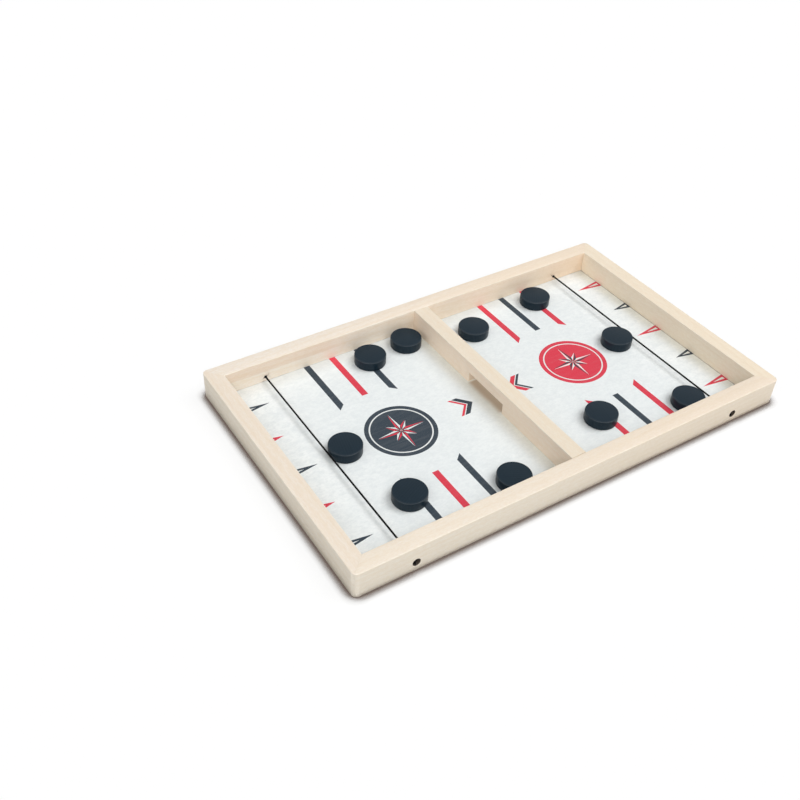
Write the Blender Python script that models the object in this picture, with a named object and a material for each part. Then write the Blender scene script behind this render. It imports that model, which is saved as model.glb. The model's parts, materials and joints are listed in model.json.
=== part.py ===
"""Sling puck game: a mitred tray with a printed board, a gated divider, two elastic cords and ten pucks.

Metres, +Z up. The origin is on the surface that the tray stands on, under the middle of the tray.
+X runs along the tray from the left player to the right one, and +Y runs to the back.
"""

import math

import bmesh
import bpy
from mathutils import Vector

# Frame
TABLE_LENGTH = 0.430
TABLE_WIDTH = 0.260
TABLE_HEIGHT = 0.025
RAIL_THICK = 0.015
CORNER_RADIUS = 0.0045
EDGE_EASE = 0.0007
SEAM = 0.0003

# Board, which lies in a rebate in the rails' lower inner edge
BOARD_THICK = 0.003
BOARD_LIFT = 0.0005
BOARD_EASE = 0.0002
REBATE_DEPTH = 0.006

# Divider
DIVIDER_THICK = 0.0145

# Pucks
PUCK_DIAMETER = 0.029
PUCK_THICK = 0.009
PUCK_EASE = 0.0008
PUCK_GAP = 0.0003

# Gate, which a puck slides through
GATE_SIDE_ROOM = 0.0105
GATE_HEADROOM = 0.0007
GATE_EASE = 0.0004

# Cords
CORD_DIAMETER = 0.0014
CORD_TO_RAIL = 0.0375
CORD_BORE_ROOM = 0.0008
KNOT_BORE_DEPTH = 0.006
KNOT_ROOM = 0.0003
CORD_STEP = 0.004
KNOT_STEP = 0.0006

# How far a cut runs past the faces that it opens
OVERRUN = 0.001

# Facets of round stretches
CORNER_SEGMENTS = 8
EASE_SEGMENTS = 2
PUCK_SIDES = 48
BORE_SIDES = 32

# Overhand knot: the gap between its strands is a share of the cord's diameter,
# and the rest are shares of the spacing of its strands
KNOT_GAP_SHARE = 0.215
TURN_CLIMB_SHARE = 1.1
BIGHT_LIFT_SHARE = 0.25
BIGHT_RISE_SHARE = 0.3
BIGHT_DIP_SHARE = 0.3
BIGHT_SIDE_SHARE = 0.28
BIGHT_TOP_SHARE = 0.95
KNOT_LEAD_SHARES = ((0.0, 0.0, -4.2), (0.0, 0.0, -3.3), (-0.1, 0.0, -2.35))
KNOT_TAIL_SHARES = ((0.5, 0.0, 0.95), (0.5, -0.34, 1.42), (0.47, -0.95, 1.6), (0.42, -1.5, 1.62))
KNOT_TURN_POINTS = 10
CURVE_POINTS = 12
SMOOTHING_ROUNDS = 4
FINE_STEP_SHARE = 0.18
STRAND_REACH_SHARE = 1.6

# Places of the pucks: a share of the way from the divider to the cord, and of the way from the middle
# to a long rail. The third puck of each half stands loaded against its cord.
LEFT_PUCK_SHARES = ((0.374, 0.920), (0.041, 0.973), (1.0, 0.008), (0.867, -0.701), (0.217, -0.965))
RIGHT_PUCK_SHARES = ((0.132, 0.806), (0.790, 0.921), (1.0, 0.014), (0.966, -0.961), (0.321, -0.738))

# Colours as linear red, green and blue, with a roughness
PALE_WOOD = ((0.80, 0.68, 0.50), 0.55)
PRINTED_WHITE = ((0.84, 0.84, 0.82), 0.45)
PUCK_BLACK = ((0.022, 0.027, 0.034), 0.30)
CORD_BLACK = ((0.015, 0.015, 0.018), 0.70)

# Sizes that follow from the ones above
FIELD_HALF_LENGTH = TABLE_LENGTH / 2 - RAIL_THICK
FIELD_HALF_WIDTH = TABLE_WIDTH / 2 - RAIL_THICK
BOARD_TOP = BOARD_LIFT + BOARD_THICK
REBATE_TOP = BOARD_TOP + SEAM
PUCK_RADIUS = PUCK_DIAMETER / 2
PUCK_FOOT = BOARD_TOP + PUCK_GAP
PUCK_MIDDLE = PUCK_FOOT + PUCK_THICK / 2
GATE_WIDTH = PUCK_DIAMETER + 2 * GATE_SIDE_ROOM
GATE_TOP = PUCK_FOOT + PUCK_THICK + GATE_HEADROOM
CORD_RADIUS = CORD_DIAMETER / 2
CORD_PLACE = FIELD_HALF_LENGTH - CORD_TO_RAIL
CORD_BORE_RADIUS = CORD_RADIUS + CORD_BORE_ROOM
STRAND_SPACING = CORD_DIAMETER * (1 + KNOT_GAP_SHARE)
LAP_LENGTH_SHARE = 2 + 2 * math.pi
KNOT_TURNS = 1 + 1 / LAP_LENGTH_SHARE
HALF_CLIMB_SHARE = TURN_CLIMB_SHARE * KNOT_TURNS / 2
KNOT_RADIUS = 1.5 * STRAND_SPACING + CORD_RADIUS
KNOT_HALF_LENGTH = (HALF_CLIMB_SHARE + BIGHT_RISE_SHARE) * STRAND_SPACING + CORD_RADIUS
KNOT_BORE_RADIUS = KNOT_RADIUS + KNOT_ROOM
KNOT_SHOULDER = TABLE_WIDTH / 2 - KNOT_BORE_DEPTH
KNOT_PLACE = KNOT_SHOULDER + KNOT_ROOM + KNOT_HALF_LENGTH


def clear_scene():
    """Removes whatever the scene holds."""
    for thing in list(bpy.data.objects):
        bpy.data.objects.remove(thing, do_unlink=True)


def material(name, look):
    """Makes a plain material from a colour and a roughness."""
    colour, roughness = look
    made = bpy.data.materials.new(name)
    made.use_nodes = True
    shader = made.node_tree.nodes["Principled BSDF"]
    shader.inputs["Base Color"].default_value = (*colour, 1.0)
    shader.inputs["Roughness"].default_value = roughness
    shader.inputs["Metallic"].default_value = 0.0
    made.diffuse_color = (*colour, 1.0)
    return made


def new_object(name, data, look=None, place=(0.0, 0.0, 0.0), turn=0.0):
    """Puts a mesh or a curve in the scene at a place, turned about the vertical."""
    made = bpy.data.objects.new(name, data)
    made.location = place
    made.rotation_euler = (0.0, 0.0, turn)
    bpy.context.scene.collection.objects.link(made)
    if look is not None and not data.materials:
        data.materials.append(look)
    return made


def finished_mesh(name, shape):
    """Turns a bmesh into a mesh whose curved stretches are shaded smooth."""
    bmesh.ops.recalc_face_normals(shape, faces=shape.faces)
    mesh = bpy.data.meshes.new(name)
    shape.to_mesh(mesh)
    shape.free()
    mesh.shade_smooth()
    mesh.set_sharp_from_angle(angle=math.radians(32))
    return mesh


def extruded(outline, low, high):
    """Extrudes a closed outline of (y, z) points along X, from low to high."""
    shape = bmesh.new()
    profile = shape.faces.new([shape.verts.new((low, y, z)) for y, z in outline])
    swept = bmesh.ops.extrude_face_region(shape, geom=[profile], use_keep_orig=True)
    moved = [item for item in swept["geom"] if isinstance(item, bmesh.types.BMVert)]
    bmesh.ops.translate(shape, verts=moved, vec=(high - low, 0.0, 0.0))
    bmesh.ops.recalc_face_normals(shape, faces=shape.faces)
    return shape


def round_edges(shape, width, segments, chosen):
    """Rounds the edges whose two ends are chosen by a test."""
    edges = [edge for edge in shape.edges if chosen(*(vertex.co for vertex in edge.verts))]
    bmesh.ops.bevel(shape, geom=edges, offset=width, offset_type="OFFSET", segments=segments, profile=0.5,
                    affect="EDGES", clamp_overlap=True, material=-1)


def cut_off(shape, point, normal):
    """Cuts a closed shape by a plane, drops the side that the normal points to and closes the cut."""
    everything = shape.verts[:] + shape.edges[:] + shape.faces[:]
    cut = bmesh.ops.bisect_plane(shape, geom=everything, plane_co=point, plane_no=normal, clear_outer=True)
    rim = [item for item in cut["geom_cut"] if isinstance(item, bmesh.types.BMEdge)]
    bmesh.ops.contextual_create(shape, geom=rim)


def rail_mesh(name, length):
    """A rail along X with its outer face on y = 0, a rebate under its inner edge and both ends mitred."""
    half = length / 2
    near = SEAM / 10
    rebate = RAIL_THICK - REBATE_DEPTH
    outline = (
        (0.0, 0.0),
        (rebate, 0.0),
        (rebate, REBATE_TOP),
        (RAIL_THICK, REBATE_TOP),
        (RAIL_THICK, TABLE_HEIGHT),
        (0.0, TABLE_HEIGHT),
    )
    shape = extruded(outline, -half, half)
    round_edges(shape, CORNER_RADIUS, CORNER_SEGMENTS,
                lambda a, b: max(a.y, b.y) < near and abs(a.x - b.x) < near)
    round_edges(shape, EDGE_EASE, EASE_SEGMENTS, lambda a, b: min(a.z, b.z) > TABLE_HEIGHT - near)
    for side in (-1, 1):
        normal = Vector((side, 1.0, 0.0)).normalized()
        cut_off(shape, Vector((side * half, 0.0, 0.0)) - normal * SEAM / 2, normal)
    return finished_mesh(name, shape)


def stepped_bore_mesh(name):
    """Cutter of a cord's way through a rail, turned about Y: the cord's bore, then its knot's wider one."""
    inner = KNOT_SHOULDER - FIELD_HALF_WIDTH
    outer = RAIL_THICK + OVERRUN
    profile = (
        (0.0, -OVERRUN),
        (CORD_BORE_RADIUS, -OVERRUN),
        (CORD_BORE_RADIUS, inner),
        (KNOT_BORE_RADIUS, inner),
        (KNOT_BORE_RADIUS, outer),
        (0.0, outer),
    )
    shape = bmesh.new()
    points = [shape.verts.new((radius, along, 0.0)) for radius, along in profile]
    edges = [shape.edges.new(pair) for pair in zip(points, points[1:])]
    bmesh.ops.spin(shape, geom=points + edges, cent=(0.0, 0.0, 0.0), axis=(0.0, 1.0, 0.0),
                   dvec=(0.0, 0.0, 0.0), angle=math.tau, steps=BORE_SIDES, use_merge=True,
                   use_duplicate=False)
    bmesh.ops.remove_doubles(shape, verts=shape.verts, dist=OVERRUN / 100)
    return finished_mesh(name, shape)


def bore_rail(rail, name, along):
    """Bores a long rail, whose outer face is on its own y = 0, for one cord at a distance along it."""
    cutter = new_object(name, stepped_bore_mesh(name), None, (along, RAIL_THICK, PUCK_MIDDLE), math.pi)
    cutter.parent = rail
    cutter.hide_render = True
    cutter.display_type = "WIRE"
    cut = rail.modifiers.new(name, "BOOLEAN")
    cut.operation = "DIFFERENCE"
    cut.solver = "EXACT"
    cut.object = cutter


def make_frame(wood):
    """Builds the four rails. Each is made with its outer face to the front and turned to its side."""
    long_mesh = rail_mesh("long_rail", TABLE_LENGTH)
    short_mesh = rail_mesh("short_rail", TABLE_WIDTH)
    front = new_object("rail_front", long_mesh, wood, (0.0, -TABLE_WIDTH / 2, 0.0))
    back = new_object("rail_back", long_mesh, wood, (0.0, TABLE_WIDTH / 2, 0.0), math.pi)
    new_object("rail_right", short_mesh, wood, (TABLE_LENGTH / 2, 0.0, 0.0), math.pi / 2)
    new_object("rail_left", short_mesh, wood, (-TABLE_LENGTH / 2, 0.0, 0.0), -math.pi / 2)
    for rail in (front, back):
        for side, along in (("a", -CORD_PLACE), ("b", CORD_PLACE)):
            bore_rail(rail, f"{rail.name}_bore_{side}", along)


def make_board(look):
    """Builds the playing board, which fills the rebate on all four sides."""
    half_length = FIELD_HALF_LENGTH + REBATE_DEPTH - SEAM
    half_width = FIELD_HALF_WIDTH + REBATE_DEPTH - SEAM
    outline = (
        (-half_width, BOARD_LIFT),
        (half_width, BOARD_LIFT),
        (half_width, BOARD_TOP),
        (-half_width, BOARD_TOP),
    )
    shape = extruded(outline, -half_length, half_length)
    round_edges(shape, BOARD_EASE, 1, lambda a, b: True)
    new_object("board", finished_mesh("board", shape), look)


def make_divider(wood):
    """Builds the bar across the middle, with the gate open in its lower edge."""
    half_span = FIELD_HALF_WIDTH - SEAM
    half_gate = GATE_WIDTH / 2
    half_thick = DIVIDER_THICK / 2
    near = SEAM / 10
    outline = (
        (-half_span, REBATE_TOP),
        (-half_gate, REBATE_TOP),
        (-half_gate, GATE_TOP),
        (half_gate, GATE_TOP),
        (half_gate, REBATE_TOP),
        (half_span, REBATE_TOP),
        (half_span, TABLE_HEIGHT),
        (-half_span, TABLE_HEIGHT),
    )
    shape = extruded(outline, -half_thick, half_thick)

    def on_gate_rim(a, b):
        inside = max(abs(a.y), abs(b.y)) < half_gate + near and max(a.z, b.z) < GATE_TOP + near
        return inside and max(a.z, b.z) > GATE_TOP - near and abs(a.x - b.x) < near

    round_edges(shape, GATE_EASE, 1, on_gate_rim)
    round_edges(shape, EDGE_EASE, EASE_SEGMENTS, lambda a, b: min(a.z, b.z) > TABLE_HEIGHT - near)
    new_object("divider", finished_mesh("divider", shape), wood)


def puck_mesh():
    """A turned wooden disc with eased rims."""
    shape = bmesh.new()
    bmesh.ops.create_cone(shape, cap_ends=True, cap_tris=False, segments=PUCK_SIDES, radius1=PUCK_RADIUS,
                          radius2=PUCK_RADIUS, depth=PUCK_THICK)
    round_edges(shape, PUCK_EASE, EASE_SEGMENTS, lambda a, b: a.z * b.z > 0)
    return finished_mesh("puck", shape)


def make_pucks(look):
    """Places five pucks in each half of the board."""
    mesh = puck_mesh()
    nearest = DIVIDER_THICK / 2 + PUCK_RADIUS
    farthest = CORD_PLACE - CORD_RADIUS - PUCK_GAP - PUCK_RADIUS
    widest = FIELD_HALF_WIDTH - PUCK_RADIUS
    for half, side, places in (("left", -1, LEFT_PUCK_SHARES), ("right", 1, RIGHT_PUCK_SHARES)):
        for number, (along, across) in enumerate(places, start=1):
            place = (side * (nearest + (farthest - nearest) * along), widest * across, PUCK_MIDDLE)
            new_object(f"puck_{half}_{number}", mesh, look, place)


def lap_point(turn):
    """Point (across, up) on the path that laps two strands side by side, in strand spacings."""
    quarter = math.pi / 2
    run = (turn % 1.0) * LAP_LENGTH_SHARE
    if run < quarter:
        return 0.5 + math.cos(run), -math.sin(run)
    run -= quarter
    if run < 1:
        return 0.5 - run, -1.0
    run -= 1
    if run < math.pi:
        return -0.5 + math.cos(quarter + run), -math.sin(quarter + run)
    run -= math.pi
    if run < 1:
        return -0.5 + run, 1.0
    run -= 1
    return 0.5 + math.cos(3 * quarter + run), -math.sin(3 * quarter + run)


def knot_outline():
    """Points of an overhand knot (across, up, out) in strand spacings, about the knot's middle.

    The cord comes out of its bore, passes the knot's middle on one side, bends up into a bight, laps
    both strands once, bends back at the shoulder into the second strand and leaves as the tail.
    """
    first_lap = 1 - (math.pi / 2 + 1) / LAP_LENGTH_SHARE
    top = HALF_CLIMB_SHARE
    bight = (
        (-0.5, 0.0, -top - BIGHT_DIP_SHARE),
        (-0.5, 0.0, 0.0),
        (-0.5, 0.0, top - BIGHT_DIP_SHARE),
        (-0.5, BIGHT_RISE_SHARE, top + BIGHT_LIFT_SHARE),
        (-BIGHT_SIDE_SHARE, BIGHT_TOP_SHARE, top + BIGHT_RISE_SHARE),
    )
    turn = []
    for step in range(1, KNOT_TURN_POINTS):
        share = step / KNOT_TURN_POINTS
        across, up = lap_point(first_lap + KNOT_TURNS * share)
        turn.append((across, up, top - 2 * top * share))
    second_bight = [(-across, up, -out) for across, up, out in reversed(bight)]
    return [*KNOT_LEAD_SHARES, *bight, *turn, *second_bight, *KNOT_TAIL_SHARES]


def through(points, steps):
    """Smooth curve through the given points, with a number of steps between each pair."""
    places = [Vector(point) for point in points]
    places = [2 * places[0] - places[1], *places, 2 * places[-1] - places[-2]]
    curve = []
    for p0, p1, p2, p3 in zip(places, places[1:], places[2:], places[3:]):
        t1 = (p1 - p0).length ** 0.5
        t2 = t1 + (p2 - p1).length ** 0.5
        t3 = t2 + (p3 - p2).length ** 0.5
        for step in range(steps):
            t = t1 + (t2 - t1) * step / steps
            a1 = p0.lerp(p1, t / t1)
            a2 = p1.lerp(p2, (t - t1) / (t2 - t1))
            a3 = p2.lerp(p3, (t - t2) / (t3 - t2))
            b1 = a1.lerp(a2, t / t2)
            b2 = a2.lerp(a3, (t - t1) / (t3 - t1))
            curve.append(b1.lerp(b2, (t - t1) / (t2 - t1)))
    curve.append(places[-2])
    return curve


def evenly(points, spacing):
    """Walks along a path and gives points at about equal spacing, with both ends kept."""
    lengths = [(b - a).length for a, b in zip(points, points[1:])]
    count = max(1, round(sum(lengths) / spacing))
    goal = sum(lengths) / count
    walked = 0.0
    placed = [points[0]]
    for start, end, length in zip(points, points[1:], lengths):
        while len(placed) < count and walked + length >= goal * len(placed):
            placed.append(start.lerp(end, (goal * len(placed) - walked) / length))
        walked += length
    placed.append(points[-1])
    return placed


def eased(points, rounds):
    """Eases a path's bends by drawing each point towards its neighbours' middle, with both ends kept."""
    for _ in range(rounds):
        inner = [(a + 2 * b + c) / 4 for a, b, c in zip(points, points[1:], points[2:])]
        points = [points[0], *inner, points[-1]]
    return points


def half_cord():
    """Points from the cord's mid-span to the tip of its tail at the +Y end, about the mid-span."""
    fine = evenly(through(knot_outline(), CURVE_POINTS), FINE_STEP_SHARE)
    knot = [Vector((p.x, p.z, p.y)) * STRAND_SPACING for p in eased(fine, SMOOTHING_ROUNDS)]
    knot = [point + Vector((0.0, KNOT_PLACE, 0.0)) for point in evenly(knot, KNOT_STEP)]
    straight = evenly([Vector((0.0, 0.0, 0.0)), knot[0]], CORD_STEP)
    return straight + knot[1:]


def least_gap(points):
    """Least gap of the tube to itself, between strands that are not next to each other along it."""
    skipped = math.ceil(STRAND_REACH_SHARE * CORD_DIAMETER / KNOT_STEP)
    pairs = ((a, b) for i, a in enumerate(points) for b in points[i + skipped:])
    return min((a - b).length for a, b in pairs) - CORD_DIAMETER


def make_cords(look):
    """Builds the two elastic cords, each one tube from tail to tail, alike when turned end for end."""
    half = half_cord()
    other = [Vector((-p.x, -p.y, p.z)) for p in reversed(half)]
    route = other[:-1] + half
    for name, side in (("cord_left", -1), ("cord_right", 1)):
        curve = bpy.data.curves.new(name, "CURVE")
        curve.dimensions = "3D"
        curve.twist_mode = "MINIMUM"
        curve.resolution_u = 1
        curve.bevel_depth = CORD_RADIUS
        curve.bevel_resolution = 2
        curve.use_fill_caps = True
        spline = curve.splines.new("POLY")
        spline.points.add(len(route) - 1)
        for target, point in zip(spline.points, route):
            target.co = (*point, 1.0)
        new_object(name, curve, look, (side * CORD_PLACE, 0.0, PUCK_MIDDLE))
    print(f"cord: {len(route)} points, least gap to itself {least_gap(half) * 1000:.2f} mm")


def main():
    """Builds the whole game."""
    clear_scene()
    wood = material("pale_wood", PALE_WOOD)
    make_frame(wood)
    make_board(material("printed_white", PRINTED_WHITE))
    make_divider(wood)
    make_pucks(material("puck_black", PUCK_BLACK))
    make_cords(material("cord_black", CORD_BLACK))


main()
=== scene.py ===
"""Looks of the sling puck game: a mitred wooden tray with a printed board, elastic cords and black pucks.

Every length is in metres. +X runs along the tray to the right player, +Y to the back and +Z up.
"""

import functools
import json
import logging
import math
from dataclasses import dataclass
from enum import Enum
from typing import Callable, Sequence, Union

import bmesh
import bpy
from bmesh.types import BMEdge, BMesh, BMFace, BMVert
from bpy.types import Material, Node, NodeSocket, NodeTree
from mathutils import Matrix, Vector
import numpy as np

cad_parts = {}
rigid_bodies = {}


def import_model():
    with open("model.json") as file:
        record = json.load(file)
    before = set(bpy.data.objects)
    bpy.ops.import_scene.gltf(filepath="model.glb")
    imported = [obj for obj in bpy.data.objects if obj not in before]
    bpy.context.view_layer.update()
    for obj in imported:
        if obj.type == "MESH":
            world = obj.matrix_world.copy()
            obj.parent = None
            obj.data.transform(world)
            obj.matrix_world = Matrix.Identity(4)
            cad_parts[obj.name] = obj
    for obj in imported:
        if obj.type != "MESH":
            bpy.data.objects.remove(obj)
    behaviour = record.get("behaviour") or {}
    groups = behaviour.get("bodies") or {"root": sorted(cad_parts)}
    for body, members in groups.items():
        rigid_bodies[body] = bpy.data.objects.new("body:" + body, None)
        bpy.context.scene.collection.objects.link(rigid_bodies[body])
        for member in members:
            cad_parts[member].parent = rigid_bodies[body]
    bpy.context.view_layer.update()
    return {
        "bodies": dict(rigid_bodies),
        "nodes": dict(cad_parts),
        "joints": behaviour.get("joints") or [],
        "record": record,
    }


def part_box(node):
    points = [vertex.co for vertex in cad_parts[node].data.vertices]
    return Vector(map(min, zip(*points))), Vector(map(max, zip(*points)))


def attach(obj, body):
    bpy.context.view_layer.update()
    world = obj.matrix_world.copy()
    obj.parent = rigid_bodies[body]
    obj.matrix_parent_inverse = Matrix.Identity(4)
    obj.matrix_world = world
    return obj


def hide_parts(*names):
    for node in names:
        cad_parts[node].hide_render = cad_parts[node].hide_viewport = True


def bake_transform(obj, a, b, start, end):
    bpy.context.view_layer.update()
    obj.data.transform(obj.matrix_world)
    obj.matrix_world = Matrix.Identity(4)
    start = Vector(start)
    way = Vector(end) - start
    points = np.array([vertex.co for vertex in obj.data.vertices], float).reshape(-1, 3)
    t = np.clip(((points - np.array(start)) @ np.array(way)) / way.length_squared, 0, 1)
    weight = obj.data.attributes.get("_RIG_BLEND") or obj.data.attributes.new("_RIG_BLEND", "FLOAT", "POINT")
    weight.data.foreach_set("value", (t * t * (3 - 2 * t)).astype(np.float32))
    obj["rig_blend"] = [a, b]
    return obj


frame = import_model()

MM = 0.001
LOG = logging.getLogger("sling_puck")

Colour = tuple[float, float, float]
Point = tuple[float, float, float]
Ramp = tuple[float, ...]
Pair = tuple[float, float]
Feed = Union[NodeSocket, float, tuple]
Corners = Sequence[Pair]

ZERO: Point = (0.0, 0.0, 0.0)
ONE: Point = (1.0, 1.0, 1.0)
WHITE: Colour = (1.0, 1.0, 1.0)
QUARTER = math.pi / 2
DECIMALS = 7


class Named(Enum):
    """Options whose own names go into the names of pieces."""

    @property
    def word(self) -> str:
        """The option's name in lower case."""
        return self.name.lower()


class Half(Named):
    """The two halves of the board, each with its player's end."""

    LEFT = -1
    RIGHT = 1


class InkColour(Named):
    """The inks of the printed board, as linear red, green and blue."""

    BLACK = (0.026, 0.040, 0.056)
    RED = (0.67, 0.041, 0.072)
    WHITE = (0.80, 0.82, 0.81)


@dataclass(frozen=True)
class TraySizes:
    """Sizes that the tray's pieces and finishes share."""

    length: float = 0.430
    width: float = 0.260
    height: float = 0.025
    rail: float = 0.015
    rebate: float = 0.006
    divider: float = 0.0145
    gate: float = 0.050
    board_top: float = 0.0035
    seam: float = 0.0003
    hairline: float = 0.00006
    ease: float = 0.0006
    ease_segments: int = 4
    puck_diameter: float = 0.029
    puck_thick: float = 0.009
    puck_gap: float = 0.0003
    cord_to_rail: float = 0.0375
    cord_diameter: float = 0.0014
    sleeve_diameter: float = 0.00155
    knot_depth: float = 0.006

    @property
    def field_half_length(self) -> float:
        """From the middle to the end rails' inner faces."""
        return self.length / 2 - self.rail

    @property
    def field_half_width(self) -> float:
        """From the middle to the long rails' inner faces."""
        return self.width / 2 - self.rail

    @property
    def cord_place(self) -> float:
        """From the middle to a cord, along the tray."""
        return self.field_half_length - self.cord_to_rail

    @property
    def puck_middle(self) -> float:
        """Height of a puck's middle and of the cords."""
        return self.board_top + self.puck_gap + self.puck_thick / 2


TRAY = TraySizes()


# Nodes and shared effects


@dataclass(frozen=True)
class Cloud:
    """A noise pattern, and the ramp that makes a mask of it where one does."""

    scale: Point
    detail: float = 2.0
    roughness: float = 0.5
    ramp: Ramp = ()
    turn: Point = ZERO


class Graph:
    """Short calls for adding nodes to one node tree and linking them."""

    def __init__(self, tree: NodeTree) -> None:
        """Takes the tree that the nodes go into."""
        self.tree = tree

    def feed(self, socket: NodeSocket, value: Feed) -> None:
        """Links a socket to the given one, or sets it to the given value.

        Args:
            socket: The input socket.
            value: An output socket, a number, or a tuple of numbers.
        """
        if isinstance(value, NodeSocket):
            self.tree.links.new(value, socket)
        else:
            socket.default_value = value

    def add(self, kind: str, feeds: dict[Union[str, int], Feed] | None = None, **settings) -> Node:
        """Adds a node, sets its properties and feeds its inputs.

        Args:
            kind: The node's type name.
            feeds: Values or sockets for its inputs, by name or place.
            settings: The node's own properties.

        Returns:
            The new node.
        """
        node = self.tree.nodes.new(kind)
        for name, value in settings.items():
            setattr(node, name, value)
        for name, value in (feeds or {}).items():
            self.feed(node.inputs[name], value)
        return node

    def math(self, operation: str, *values: Feed) -> NodeSocket:
        """Adds a Math node and returns its output."""
        return self.add("ShaderNodeMath", dict(enumerate(values)), operation=operation).outputs[0]

    def plus(self, *values: Feed) -> NodeSocket:
        """Adds two values."""
        return self.math("ADD", *values)

    def times(self, *values: Feed) -> NodeSocket:
        """Multiplies two values."""
        return self.math("MULTIPLY", *values)

    def sway(self, noise: Feed, reach: float) -> NodeSocket:
        """Makes a noise of 0 to 1 a shift that goes half of the reach to both sides."""
        return self.times(self.math("SUBTRACT", noise, 0.5), reach)

    def distance(self, across: Feed, up: Feed) -> NodeSocket:
        """Gives the distance of a point from an axis."""
        return self.math("SQRT", self.plus(self.math("POWER", across, 2.0), self.math("POWER", up, 2.0)))

    def mapped(self, vector: Feed, scale: Point = ONE, place: Point = ZERO, turn: Point = ZERO) -> NodeSocket:
        """Adds a Mapping node that scales, turns and moves a pattern, and returns its output."""
        feeds = {"Vector": vector, "Location": place, "Rotation": turn, "Scale": scale}
        return self.add("ShaderNodeMapping", feeds).outputs[0]

    def between(self, value: Feed, low: float, high: float, *ends: float) -> NodeSocket:
        """Maps a value smoothly from a range to the given ends, or to 0 and 1, and returns the result."""
        feeds = dict(enumerate((value, low, high, *ends)))
        return self.add("ShaderNodeMapRange", feeds, interpolation_type="SMOOTHSTEP").outputs[0]

    def noise(self, vector: Feed, cloud: Cloud) -> NodeSocket:
        """Adds a noise texture.

        Args:
            vector: The coordinates.
            cloud: The pattern.

        Returns:
            Its value, or the mask that its ramp makes.
        """
        feeds = {"Vector": self.mapped(vector, cloud.scale, turn=cloud.turn), "Scale": 1.0,
                 "Detail": cloud.detail, "Roughness": cloud.roughness}
        value = self.add("ShaderNodeTexNoise", feeds).outputs[0]
        return self.between(value, *cloud.ramp) if cloud.ramp else value

    def mix(self, factor: Feed, low: Feed, high: Feed, blend: str = "MIX") -> NodeSocket:
        """Mixes two colours and returns the result."""
        feeds = {0: factor, 6: rgba(low), 7: rgba(high)}
        return self.add("ShaderNodeMix", feeds, data_type="RGBA", blend_type=blend).outputs[2]

    def coated(self, colour: Feed, *coats: tuple[Feed, Feed], blend: str = "MIX") -> NodeSocket:
        """Lays coats over a colour.

        Args:
            colour: The colour underneath.
            coats: The mask and the colour of each coat, from the lowest one.
            blend: How a coat mixes with what is under it.

        Returns:
            The colour on top.
        """
        for mask, coat in coats:
            colour = self.mix(mask, colour, coat, blend)
        return colour

    def parts(self, vector: Feed) -> tuple[NodeSocket, ...]:
        """Splits a vector and returns its three sockets."""
        return tuple(self.add("ShaderNodeSeparateXYZ", {0: vector}).outputs)

    def mark(self, name: str) -> NodeSocket:
        """Adds the node that reads a mark of a piece's faces, and returns its output."""
        return self.add("ShaderNodeAttribute", attribute_name=name).outputs["Fac"]

    def effect(self, tree: NodeTree, feeds: dict[str, Feed]) -> tuple[NodeSocket, ...]:
        """Places a shared effect and returns its outputs."""
        return tuple(self.add("ShaderNodeGroup", feeds, node_tree=tree).outputs)

    def seen(self) -> NodeSocket:
        """Gives 1 where the camera or a shiny or clear surface looks, and 0 where light falls."""
        rays = self.add("ShaderNodeLightPath").outputs
        shiny = self.math("MAXIMUM", rays["Is Glossy Ray"], rays["Is Transmission Ray"])
        return self.math("MAXIMUM", rays["Is Camera Ray"], shiny)


class Effect(Graph):
    """A shader node group in the making, which takes coordinates and numbers and gives masks."""

    def __init__(self, name: str, **numbers: float) -> None:
        """Makes the group with its inputs.

        Args:
            name: The group's name.
            numbers: Name and default of each number that it takes beside the coordinates.
        """
        super().__init__(bpy.data.node_groups.new(name, "ShaderNodeTree"))
        self.tree.interface.new_socket("Vector", in_out="INPUT", socket_type="NodeSocketVector")
        for label, number in numbers.items():
            socket = self.tree.interface.new_socket(label, in_out="INPUT", socket_type="NodeSocketFloat")
            socket.default_value = number
        self.takes = self.add("NodeGroupInput").outputs

    def gives(self, masks: dict[str, NodeSocket]) -> NodeTree:
        """Gives the group its outputs.

        Args:
            masks: The masks by name.

        Returns:
            The finished group.
        """
        for label in masks:
            self.tree.interface.new_socket(label, in_out="OUTPUT", socket_type="NodeSocketFloat")
        self.add("NodeGroupOutput", masks)
        return self.tree


@dataclass(frozen=True)
class LongGrain:
    """Long wood grain along X: growth rings about a far heart line, fibres, flecks and slow tone."""

    wander: Cloud = Cloud((5.0, 34.0, 34.0))
    wander_reach: float = 0.004
    taper: float = 0.012
    spacing: float = 0.0045
    late_wood: Ramp = (0.30, 0.86)
    ring_end: Ramp = (0.90, 1.0, 1.0, 0.0)
    fibres: Cloud = Cloud((46.0, 1500.0, 1500.0), 3.0, 0.6)
    flecks: Cloud = Cloud((210.0, 3600.0, 3600.0), 1.0, ramp=(0.66, 0.76))
    tone: Cloud = Cloud((7.0, 60.0, 60.0), 3.0, 0.55)

    @functools.cache
    def group(self) -> NodeTree:
        """Builds the effect, once.

        Returns:
            The node group.
        """
        g = Effect("long_grain", Spacing=self.spacing)
        vector = g.takes["Vector"]
        along, across, up = g.parts(vector)
        shift = g.plus(g.sway(g.noise(vector, self.wander), self.wander_reach), g.times(along, self.taper))
        ring = g.math("FRACT", g.math("DIVIDE", g.plus(g.distance(across, up), shift), g.takes["Spacing"]))
        return g.gives({"Rings": g.times(g.between(ring, *self.late_wood), g.between(ring, *self.ring_end)),
                        "Fibres": g.noise(vector, self.fibres),
                        "Flecks": g.noise(vector, self.flecks),
                        "Tone": g.noise(vector, self.tone)})


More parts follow.
